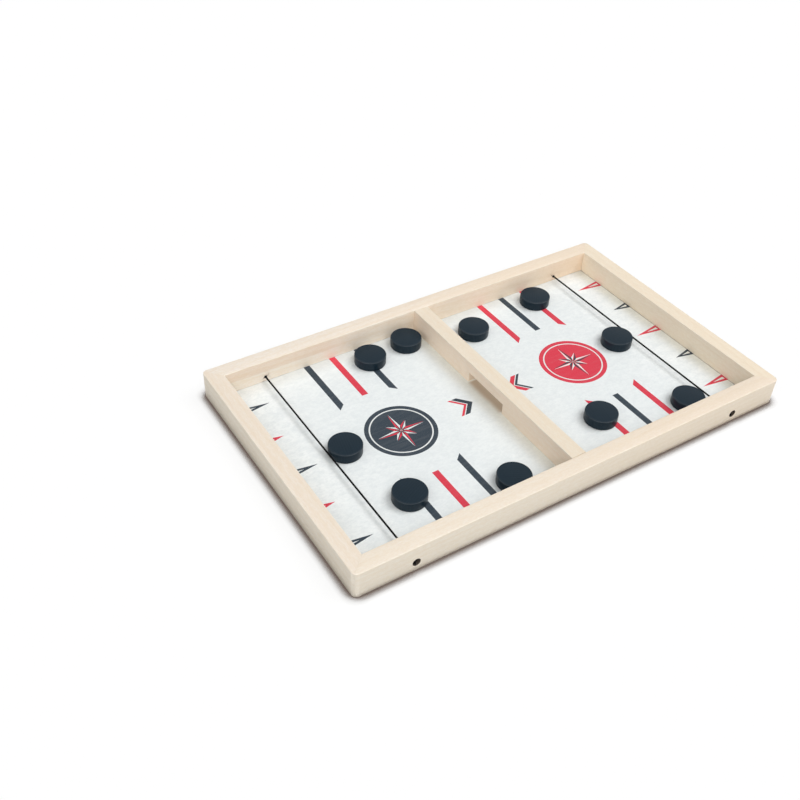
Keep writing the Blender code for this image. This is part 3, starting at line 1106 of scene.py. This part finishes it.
@dataclass
class Sling:
    """One elastic cord: two halves of its span, which meet in the middle, and a stopper knot at each end."""

    half: Half
    route: CordRoute = CordRoute()
    sides: int = 20
    smooth: float = 60.0
    tip_share: float = 0.04
    finish: BraidedElastic = BraidedElastic()

    def frames(self, path: Sequence[Vector]) -> list[Matrix]:
        """Carries a frame along a path without twisting it.

        Args:
            path: The cord's middle line.

        Returns:
            One turn for each point, whose Z runs along the path.
        """
        steps = [(b - a).normalized() for a, b in zip(path, path[1:])]
        tangents = [steps[0], *((a + b).normalized() for a, b in zip(steps, steps[1:])), steps[-1]]
        turns = [tangents[0].to_track_quat("Z", "Y")]
        for before, after in zip(tangents, tangents[1:]):
            turns.append(before.rotation_difference(after) @ turns[-1])
        return [Matrix.Translation(point) @ turn.to_matrix().to_4x4() for point, turn in zip(path, turns)]

    def radii(self, path: Sequence[Vector]) -> list[float]:
        """Gives a knot's radius at each point: full, and rounded off at the heat-sealed tip of its tail.

        Args:
            path: The knot's middle line, with the tip last.

        Returns:
            The radii in metres.
        """
        full = TRAY.sleeve_diameter / 2
        left = [path_length(path[place:]) for place in range(len(path))]
        return [full * math.sqrt(max(self.tip_share, 1 - max(0.0, 1 - room / full) ** 2)) for room in left]

    def tube(self, path: Sequence[Vector], radii: Sequence[float]) -> BMesh:
        """Sweeps a ring along a path by extruding it from point to point.

        Args:
            path: The cord's middle line.
            radii: The tube's radius at each point.

        Returns:
            The closed tube, with a UV map of turns around and diameters along.
        """
        shape = bmesh.new()
        shape.loops.layers.uv.new("UVMap")
        ring = bmesh.ops.create_circle(shape, cap_ends=True, segments=self.sides, radius=1.0)["verts"]
        frames = zip(self.frames(path), radii)
        places = [frame @ Matrix.Diagonal((size, size, size, 1.0)) for frame, size in frames]
        bmesh.ops.transform(shape, matrix=places[0], verts=ring)
        marks = {vertex: (number / self.sides, 0.0) for number, vertex in enumerate(ring)}
        edges = shape.edges[:]
        run = 0.0
        for number in range(1, len(path)):
            run += (path[number] - path[number - 1]).length / TRAY.cord_diameter
            grown = bmesh.ops.extrude_edge_only(shape, edges=edges)["geom"]
            edges = only(BMEdge, grown)
            fresh = set(only(BMVert, grown))
            ring = [next(other for edge in vertex.link_edges if (other := edge.other_vert(vertex)) in fresh)
                    for vertex in ring]
            bmesh.ops.transform(shape, matrix=places[number] @ places[number - 1].inverted(), verts=ring)
            marks.update((vertex, (place / self.sides, run)) for place, vertex in enumerate(ring))
        bmesh.ops.contextual_create(shape, geom=edges)
        self.unwrap(shape, marks)
        return shape

    def unwrap(self, shape: BMesh, marks: dict[BMVert, Pair]) -> None:
        """Writes the tube's UV map.

        Args:
            shape: The tube.
            marks: Turns around and diameters along of each vertex.
        """
        layer = shape.loops.layers.uv["UVMap"]
        for face in shape.faces:
            turns = [marks[vertex][0] for vertex in face.verts]
            wraps = len(turns) == 4 and max(turns) - min(turns) > 0.5
            for loop in face.loops:
                around, along = marks[loop.vert]
                loop[layer].uv = (around + 1.0 if wraps and around < 0.5 else around, along)

    def placed(self, path: Sequence[Vector], side: int) -> list[Vector]:
        """Turns a path to one end of the cord and puts it in its place.

        Args:
            path: The path, at the +Y end with the mid-span at the origin.
            side: 1 for the +Y end and -1 for the other, which is the same turned about the vertical.

        Returns:
            The path on the tray.
        """
        place = Vector((self.half.value * TRAY.cord_place, 0.0, TRAY.puck_middle))
        return [Vector((side * point.x, side * point.y, point.z)) + place for point in path]

    def build(self) -> None:
        """Builds the knots and the two halves of the span, which bend when the sling is drawn."""
        look = self.finish.material(f"braided_elastic_{self.half.word}")
        for end, side in (("back", 1), ("front", -1)):
            way = self.placed(self.route.knot_path(), side)
            tube = self.tube(way, self.radii(way))
            knot = finished(f"stopper_knot_{self.half.word}_{end}", tube, look, self.smooth)
            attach(knot, "table")
            span = self.placed(self.route.half_span(), side)
            tube = self.tube(span, [TRAY.sleeve_diameter / 2] * len(span))
            cord = finished(f"elastic_{self.half.word}_{end}", tube, look, self.smooth)
            wall = (span[0].x, side * TRAY.field_half_width, span[0].z)
            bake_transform(cord, "table", f"sling_{self.half.word}", start=wall, end=tuple(span[-1]))
            for piece in (knot, cord):
                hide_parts(f"cord_{self.half.word}")
            lengths = [path_length(path) / MM for path in (span, way)]
            LOG.info("%s: %.1f mm, and %.1f mm in its knot", cord.name, *lengths)


# Rails and divider


@dataclass
class Rail:
    """One rail of the frame: rebated, mitred at both ends, and bored where a cord passes through it."""

    node: str
    length: float
    turn: float
    finish: PaleWood
    bores: bool = False
    corner_radius: float = 0.0045
    corner_segments: int = 20
    foot_ease: float = 0.0003
    foot_segments: int = 2
    cord_bore: float = 0.0015
    knot_bore: float = 0.00355
    panel: float = 0.0044
    bore_sides: int = 48
    rim_ease: float = 0.00018
    flatness: float = 0.99

    def bar(self) -> BMesh:
        """Builds the straight bar along X, with its outer face on y = 0, before it is mitred.

        Returns:
            The closed bar.
        """
        step, shelf = TRAY.rail - TRAY.rebate, TRAY.board_top + TRAY.seam
        outline = ((0.0, 0.0), (step, 0.0), (step, shelf), (TRAY.rail, shelf), (TRAY.rail, TRAY.height),
                   (0.0, TRAY.height))
        shape = extruded(outline, -self.length / 2, self.length)
        near = TRAY.hairline
        round_over(shape, self.corner_radius, self.corner_segments,
                   lambda a, b: max(a.y, b.y) < near and abs(a.x - b.x) < near)
        round_over(shape, TRAY.ease, TRAY.ease_segments, lambda a, b: min(a.z, b.z) > TRAY.height - near)
        round_over(shape, self.foot_ease, self.foot_segments,
                   lambda a, b: max(a.z, b.z) < near and max(a.y, b.y) < self.corner_radius + near)
        return shape

    def mouth(self, shape: BMesh, place: Vector, radius: float) -> list[BMEdge]:
        """Opens a round hole in the panel that lies at a place.

        Args:
            shape: The bar.
            place: The hole's middle.
            radius: The hole's radius.

        Returns:
            The edges of its rim.
        """
        panel = min((face for face in shape.faces if abs(face.normal.y) > self.flatness),
                    key=lambda face: (face.calc_center_bounds() - place).length)
        cuts = self.bore_sides // 4 - 1
        split = bmesh.ops.subdivide_edges(shape, edges=panel.edges[:], cuts=cuts)["geom_split"]
        border = list(set(only(BMEdge, split)))
        panel = next(face for face in border[0].link_faces if len(face.verts) == self.bore_sides)
        turn = Matrix.Translation(place) @ Matrix.Rotation(QUARTER, 4, "X")
        ring = bmesh.ops.create_circle(shape, cap_ends=False, segments=self.bore_sides, radius=radius,
                                       matrix=turn)
        rim = list({edge for vertex in ring["verts"] for edge in vertex.link_edges})
        bmesh.ops.delete(shape, geom=[panel], context="FACES_ONLY")
        bmesh.ops.bridge_loops(shape, edges=border + rim)
        return rim

    def deepened(self, shape: BMesh, ring: list, middle: Vector, depth: float, share: float) -> list[BMEdge]:
        """Extrudes a ring into the rail and narrows it.

        Args:
            shape: The bar.
            ring: The ring's edges.
            middle: A point on the bore's middle line.
            depth: How far the new ring goes along Y.
            share: The new ring's radius as a share of the old one.

        Returns:
            The new ring's edges.
        """
        grown = bmesh.ops.extrude_edge_only(shape, edges=ring)["geom"]
        mark_faces(shape, "bored", only(BMFace, grown))
        fresh = only(BMVert, grown)
        bmesh.ops.translate(shape, verts=fresh, vec=(0.0, depth, 0.0))
        bmesh.ops.scale(shape, verts=fresh, vec=(share, 1.0, share), space=Matrix.Translation(-middle))
        return only(BMEdge, grown)

    def bore(self, shape: BMesh, along: float) -> None:
        """Opens a stepped bore through the bar: a narrow way for the cord and a wide one for its knot.

        Args:
            shape: The bar.
            along: The bore's place along the rail.
        """
        middle = Vector((along, 0.0, TRAY.puck_middle))
        shape.normal_update()
        for axis in (Vector((1.0, 0.0, 0.0)), Vector((0.0, 0.0, 1.0))):
            for side in (-1, 1):
                edge = middle + side * self.panel * axis
                bmesh.ops.bisect_plane(shape, geom=whole(shape), plane_co=edge, plane_no=axis)
        wide = self.mouth(shape, middle, self.knot_bore)
        narrow = self.mouth(shape, middle + Vector((0.0, TRAY.rail, 0.0)), self.cord_bore)
        for depth, share in ((self.rim_ease, 1 - self.rim_ease / self.knot_bore),
                             (TRAY.knot_depth - self.rim_ease, 1.0),
                             (0.0, self.cord_bore / self.knot_bore)):
            wide = self.deepened(shape, wide, middle, depth, share)
        narrow = self.deepened(shape, narrow, middle, -self.rim_ease, 1 - self.rim_ease / self.cord_bore)
        mark_faces(shape, "bored", bmesh.ops.bridge_loops(shape, edges=wide + narrow)["faces"])

    def build(self) -> None:
        """Builds the rail in its place on the tray."""
        shape = self.bar()
        shape.loops.layers.float.new("bored")
        for side in (-1, 1):
            normal = Vector((side, 1.0, 0.0)).normalized()
            cut_off(shape, Vector((side * self.length / 2, 0.0, 0.0)) - normal * TRAY.hairline / 2, normal)
        if self.bores:
            for along in (-TRAY.cord_place, TRAY.cord_place):
                self.bore(shape, along)
        away = TRAY.width / 2 if self.bores else TRAY.length / 2
        place = Matrix.Rotation(self.turn, 4, "Z") @ Matrix.Translation((0.0, -away, 0.0))
        bmesh.ops.transform(shape, matrix=place, verts=shape.verts)
        bmesh.ops.recalc_face_normals(shape, faces=shape.faces)
        look = self.finish.material(f"pale_wood_{self.node}")
        piece = finished(f"planed_{self.node}", settled(shape), look)
        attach(piece, "table")
        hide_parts(self.node)
        LOG.info("%s", piece.name)


@dataclass
class Divider:
    """The bar across the middle, with the gate that the pucks slide through."""

    finish: PaleWood
    gate_top: float = 0.0135
    gate_ease: float = 0.0004
    gate_segments: int = 3

    def build(self) -> None:
        """Builds the divider."""
        span = TRAY.field_half_width - TRAY.hairline
        foot = TRAY.board_top + TRAY.hairline
        gate, top, near = TRAY.gate / 2, TRAY.height, TRAY.hairline / 2
        outline = ((-span, foot), (-gate, foot), (-gate, self.gate_top), (gate, self.gate_top),
                   (gate, foot), (span, foot), (span, top), (-span, top))
        shape = extruded(outline, -TRAY.divider / 2, TRAY.divider)

        def on_gate(a: Vector, b: Vector) -> bool:
            """Tells whether an edge is on the rim of the gate, on one of the divider's faces."""
            inside = max(abs(a.y), abs(b.y)) < gate + near and max(a.z, b.z) < self.gate_top + near
            upright = abs(a.z - b.z) > near
            return inside and abs(a.x - b.x) < near and (upright or min(a.z, b.z) > self.gate_top - near)

        round_over(shape, self.gate_ease, self.gate_segments, on_gate)
        round_over(shape, TRAY.ease, TRAY.ease_segments,
                   lambda a, b: min(a.z, b.z) > top - near and abs(a.x - b.x) < near)
        bmesh.ops.recalc_face_normals(shape, faces=shape.faces)
        piece = finished("planed_divider", settled(shape), self.finish.material("pale_wood_divider"))
        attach(piece, "table")
        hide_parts("divider")
        LOG.info("%s", piece.name)


@dataclass
class TrayFrame:
    """The four rails and the divider, each cut from its own board."""

    # Each side= colour is painted light and shade on that piece's side faces, lighter or darker than its top
    # as the light falls on them.
    front: PaleWood = PaleWood((0.880, 0.800, 0.695), (0.880, 0.765, 0.640), side=(0.915, 0.937, 0.940),
                               heart=(0.03, 0.165, 0.050), tilt=0.015)
    back: PaleWood = PaleWood((0.882, 0.812, 0.733), (0.890, 0.765, 0.630), side=(1.085, 1.080, 1.065),
                              heart=(-0.05, -0.185, 0.040), tilt=-0.02, streaked=True)
    left: PaleWood = PaleWood((0.868, 0.780, 0.682), side=(0.875, 0.905, 0.900),
                              heart=(0.02, 0.13, 0.055), tilt=0.01, turn=QUARTER)
    right: PaleWood = PaleWood(blush=(0.880, 0.780, 0.635),
                               heart=(0.01, -0.16, 0.045), tilt=-0.012, turn=QUARTER)
    middle: PaleWood = PaleWood((0.840, 0.755, 0.630), (0.840, 0.755, 0.630), side=(1.14, 1.09, 1.085),
                                heart=(0.0, 0.05, 0.06), tilt=0.02, turn=QUARTER)

    def build(self) -> None:
        """Builds the rails and the divider."""
        Rail("rail_front", TRAY.length, 0.0, self.front, bores=True).build()
        Rail("rail_back", TRAY.length, math.pi, self.back, bores=True).build()
        Rail("rail_left", TRAY.width, -QUARTER, self.left).build()
        Rail("rail_right", TRAY.width, QUARTER, self.right).build()
        Divider(self.middle).build()


# Board and print


@dataclass
class PrintSheet:
    """The motifs printed on the board, alike in both halves with their colours swapped."""

    half: Half
    proud: float = 0.00003
    sunk: float = 0.00003
    stripe_width: float = 0.006
    stripe_places: tuple[float, ...] = (0.070, 0.096, 0.122)
    stripe_end: float = 0.055
    slant_ends: Pair = (0.0475, 0.053)
    disc_place: float = 0.0935
    disc_radius: float = 0.0313
    disc_sides: int = 128
    chevron_tips: Pair = (0.0200, 0.0263)
    chevron_thick: Pair = (0.0052, 0.0028)
    chevron_back: float = 0.010
    chevron_reach: float = 0.0112
    arrow_share: float = 0.757
    long_tip: float = 0.173
    short_tip: float = 0.1815
    long_slit: Pair = (0.1855, 0.1984)
    short_slit: Pair = (0.1893, 0.1984)
    arrow_width: float = 0.0086
    slit_width: float = 0.0031
    star_points: int = 8
    star_reach: Pair = (0.0225, 0.0135)
    star_waist: float = 0.0052
    star_split: float = 0.00035
    ring_radii: Pair = (0.0262, 0.0274)

    @property
    def inks(self) -> tuple[InkColour, InkColour]:
        """The half's main ink and its second one."""
        inks = (InkColour.BLACK, InkColour.RED)
        return inks if self.half is Half.LEFT else inks[::-1]

    def corners(self, shape: BMesh, outline: Corners) -> list[BMVert]:
        """Adds the corners of an outline, given as (from the middle line, across), under the ink."""
        bottom = TRAY.board_top - self.sunk
        return [shape.verts.new((self.half.value * away, across, bottom)) for away, across in outline]

    def printed(self, shape: BMesh, faces: Sequence[BMFace], layer: int) -> None:
        """Gives faces the thickness of the ink: layer 1 on the board, layer 2 on ink."""
        sweep_faces(shape, faces, Vector((0.0, 0.0, self.sunk + layer * self.proud)))

    def patch(self, shape: BMesh, outline: Corners, layer: int = 1) -> None:
        """Adds a flat patch of ink."""
        self.printed(shape, [shape.faces.new(self.corners(shape, outline))], layer)

    def band(self, shape: BMesh, outer: Corners, inner: Corners, layer: int = 1) -> None:
        """Adds a closed band of ink between two outlines of as many corners.

        Args:
            shape: The bmesh that it goes into.
            outer: The outer outline.
            inner: The inner outline.
            layer: 1 for ink on the board, 2 for ink on ink.
        """
        loops = []
        for points in (self.corners(shape, outer), self.corners(shape, inner)):
            loops += [shape.edges.new(pair) for pair in zip(points, points[1:] + points[:1])]
        self.printed(shape, bmesh.ops.bridge_loops(shape, edges=loops)["faces"], layer)

    def stripes(self, main: BMesh, second: BMesh) -> None:
        """Adds the three stripes at each long rail: the middle one square, the outer two slanted."""
        wall = TRAY.field_half_width
        half = self.stripe_width / 2
        far, near = self.slant_ends
        ends = ((far, near), (self.stripe_end, self.stripe_end), (near, far))
        for place, (low, high), shape in zip(self.stripe_places, ends, (main, second, main)):
            for side in (-1, 1):
                self.patch(shape, ((place - half, side * wall), (place + half, side * wall),
                                   (place + half, side * high), (place - half, side * low)))

    def chevrons(self, main: BMesh, second: BMesh) -> None:
        """Adds the two nested chevrons that point at the gate."""
        for tip, thick, shape in zip(self.chevron_tips, self.chevron_thick, (main, second)):
            back, reach = tip + self.chevron_back, self.chevron_reach
            self.patch(shape, ((tip, 0.0), (back, reach), (back + thick, reach), (tip + thick, 0.0),
                               (back + thick, -reach), (back, -reach)))

    def arrowheads(self, main: BMesh, second: BMesh) -> None:
        """Adds the five slit arrowheads at the end rail, long and short in turn."""
        wall = TRAY.field_half_length
        half, inner = self.arrow_width / 2, self.slit_width / 2
        for number in range(-2, 3):
            place = number / 2 * TRAY.field_half_width * self.arrow_share
            short = number % 2
            tip = self.short_tip if short else self.long_tip
            top, foot = self.short_slit if short else self.long_slit
            self.band(second if short else main,
                      ((tip, place), (wall, place + half), (wall, place - half)),
                      ((top, place), (foot, place + inner), (foot, place - inner)))

    def circle(self, radius: float) -> list[Pair]:
        """Gives the corners of a circle about the disc's middle."""
        steps = [math.tau * number / self.disc_sides for number in range(self.disc_sides)]
        return [(self.disc_place + radius * math.cos(step), radius * math.sin(step)) for step in steps]

    def star(self, light: BMesh, dark: BMesh) -> None:
        """Adds a compass star to the disc, each of its points in a light and a dark half, inside a thin ring.

        Args:
            light: The bmesh of the light halves and the ring.
            dark: The bmesh of the dark halves.
        """
        gap = math.pi / self.star_points
        for number in range(self.star_points):
            angle = math.tau * number / self.star_points
            reach = self.star_reach[number % 2]
            for shape, side in ((light, 1), (dark, -1)):
                outline = [(0.0, 0.0)]
                for size, turn in ((reach, angle), (self.star_waist, angle + side * gap)):
                    outline.append((size * math.cos(turn), size * math.sin(turn)))
                away = self.disc_place - side * math.sin(angle) * self.star_split
                across = side * math.cos(angle) * self.star_split
                self.patch(shape, [(away + x, across + y) for x, y in outline], 2)
        self.band(light, self.circle(self.ring_radii[1]), self.circle(self.ring_radii[0]), 2)

    def build(self) -> None:
        """Builds the half's motifs as one piece for each ink and layer."""
        main, second, light, dark = (bmesh.new() for _ in range(4))
        self.stripes(main, second)
        self.chevrons(main, second)
        self.arrowheads(main, second)
        self.patch(main, self.circle(self.disc_radius))
        self.star(light, dark)
        pieces = ((main, "motifs", self.inks[0]), (second, "motifs", self.inks[1]),
                  (light, "star", InkColour.WHITE), (dark, "star", self.inks[1]))
        for shape, motif, ink in pieces:
            look = PrintInk(ink).material(f"ink_{ink.word}_{motif}_{self.half.word}")
            piece = finished(f"print_{motif}_{ink.word}_{self.half.word}", shape, look)
            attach(piece, "table")
            LOG.info("%s", piece.name)


@dataclass
class PlayingBoard:
    """The thin board in the frame's rebate, with its print."""

    finish: WhiteBoard = WhiteBoard()

    def build(self) -> None:
        """Dresses the board and prints both halves."""
        look = self.finish.material("whitewashed_board")
        for slot in frame["nodes"]["board"].material_slots:
            slot.material = look
        for half in Half:
            PrintSheet(half).build()
        LOG.info("board dressed")


# Pucks


@dataclass
class PuckSet:
    """The ten turned pucks, each in its place on the board."""

    steps: int = 128
    ease: float = 0.0007
    ease_segments: int = 5
    groove_place: float = 0.0009
    groove_width: float = 0.00025
    groove_depth: float = 0.00004
    grain_turn: float = 0.9

    def puck(self) -> BMesh:
        """Makes one puck: a disc with eased rims and a shallow turned groove in both faces.

        Returns:
            The closed puck, centred on the origin.
        """
        shape = bmesh.new()
        radius = TRAY.puck_diameter / 2
        bmesh.ops.create_cone(shape, cap_ends=True, cap_tris=False, segments=self.steps,
                              radius1=radius, radius2=radius, depth=TRAY.puck_thick)
        round_over(shape, self.ease, self.ease_segments, lambda a, b: a.z * b.z > 0)
        insets = ((self.groove_place, 0.0), (self.groove_width, -self.groove_depth),
                  (self.groove_width, self.groove_depth))
        for cap in [face for face in shape.faces if len(face.verts) == self.steps]:
            for width, depth in insets:
                bmesh.ops.inset_region(shape, faces=[cap], thickness=width, depth=depth, use_even_offset=True)
        return shape

    def build(self) -> None:
        """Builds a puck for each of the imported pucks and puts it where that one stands."""
        for number, node in enumerate(sorted(name for name in frame["nodes"] if name.startswith("puck_"))):
            low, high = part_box(node)
            centre = (Vector(low) + Vector(high)) / 2
            shape = self.puck()
            bmesh.ops.translate(shape, verts=shape.verts, vec=centre)
            finish = BlackLacquer(turn=self.grain_turn * number, centre=tuple(centre))
            piece = finished(f"turned_{node}", shape, finish.material(f"black_lacquer_{node}"))
            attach(piece, node)
            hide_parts(node)
            LOG.info("%s", piece.name)


# Studio


@dataclass(frozen=True)
class SoftKey:
    """A broad, distant lamp. Its azimuth is 0 straight in front of the tray and grows towards the right."""

    name: str
    power: float
    azimuth: float
    elevation: float
    spread: float

    def build(self) -> None:
        """Hangs the lamp."""
        data = bpy.data.lights.new(self.name, "SUN")
        data.energy = self.power
        data.angle = math.radians(self.spread)
        linked(self.name, data).matrix_world = aimed(self.azimuth, self.elevation)


@dataclass
class Studio:
    """Pale floor, three soft lamps (right, front and left) and a little even light all round."""

    floor: StudioFloor = StudioFloor()
    floor_size: float = 12.0
    floor_parts: int = 4
    sky: float = 0.093
    keys: tuple[SoftKey, ...] = (SoftKey("right_key", 1.76, 64.0, 57.0, 42.0),
                                 SoftKey("front_key", 1.21, -26.0, 50.0, 50.0),
                                 SoftKey("left_fill", 0.755, -80.0, 40.0, 60.0))

    def lay_floor(self) -> None:
        """Lays the floor."""
        shape = bmesh.new()
        parts = self.floor_parts
        bmesh.ops.create_grid(shape, x_segments=parts, y_segments=parts, size=self.floor_size)
        floor = finished("studio_floor", shape, self.floor.material("studio_floor"))

    def sky_light(self) -> None:
        """Lights the scene evenly, with a white backdrop for the camera and for glossy surfaces."""
        world = bpy.data.worlds.new("studio")
        bpy.context.scene.world = world
        world.use_nodes = True
        g = Graph(world.node_tree)
        background = world.node_tree.nodes["Background"].inputs
        g.feed(background["Color"], rgba(WHITE))
        g.feed(background["Strength"], g.plus(self.sky, g.times(g.seen(), 1.0 - self.sky)))

    def build(self) -> None:
        """Builds the floor and the lights and sets the view transform."""
        self.lay_floor()
        self.sky_light()
        for key in self.keys:
            key.build()
        bpy.context.scene.view_settings.view_transform = "Standard"


def write_sizes() -> None:
    """Updates the view layer."""
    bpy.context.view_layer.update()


def main() -> None:
    """Builds the camera, the cords, the tray, the board, the pucks and the studio."""
    logging.basicConfig(level=logging.INFO, format="%(message)s")
    Camera().build()
    for half in Half:
        Sling(half).build()
    TrayFrame().build()
    PlayingBoard().build()
    PuckSet().build()
    Studio().build()
    write_sizes()


if __name__ == "__main__":
    main()
